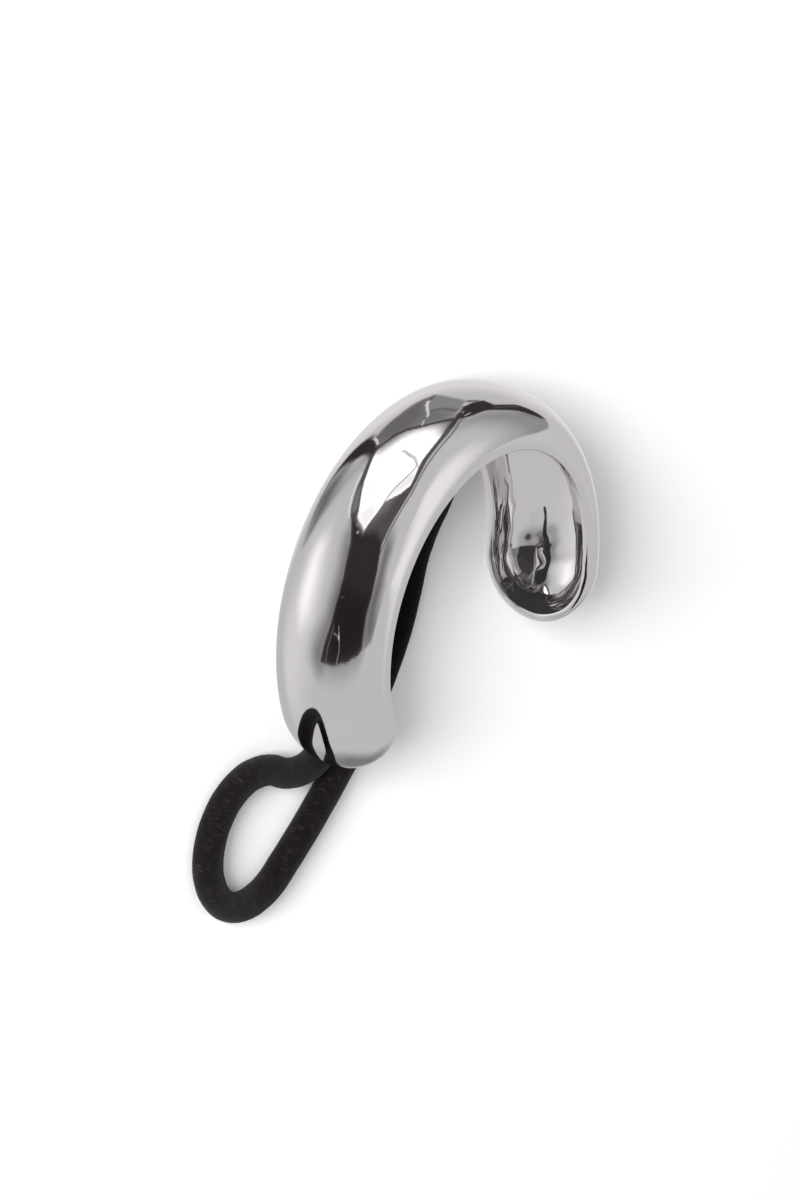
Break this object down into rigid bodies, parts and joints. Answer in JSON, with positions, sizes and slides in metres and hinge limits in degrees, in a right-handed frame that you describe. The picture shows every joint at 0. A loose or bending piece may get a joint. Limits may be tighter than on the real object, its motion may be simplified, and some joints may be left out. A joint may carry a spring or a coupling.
{
  "type": "ponytail cuff",
  "caption": "Hollow domed metal half hoop with rounded tips and a loop of elastic cord, worn over the base of a ponytail.",
  "frame": {"origin": "on the hoop's axis, in the plane that the lower rim rests on", "axes": "+Z along the hoop's axis, up from the surface; -Y towards the crown, +Y out of the mouth between the tips; X across the hoop from tip to tip"},
  "size_m": [0.0734, 0.059, 0.016],
  "materials": {
    "polished_metal": "mirror polished",
    "elastic_cord": "soft knitted cover over a rubber core"
  },
  "bodies": {
    "root": {"cuff": "polished_metal", "elastic": "elastic_cord"}
  },
  "joints": []
}
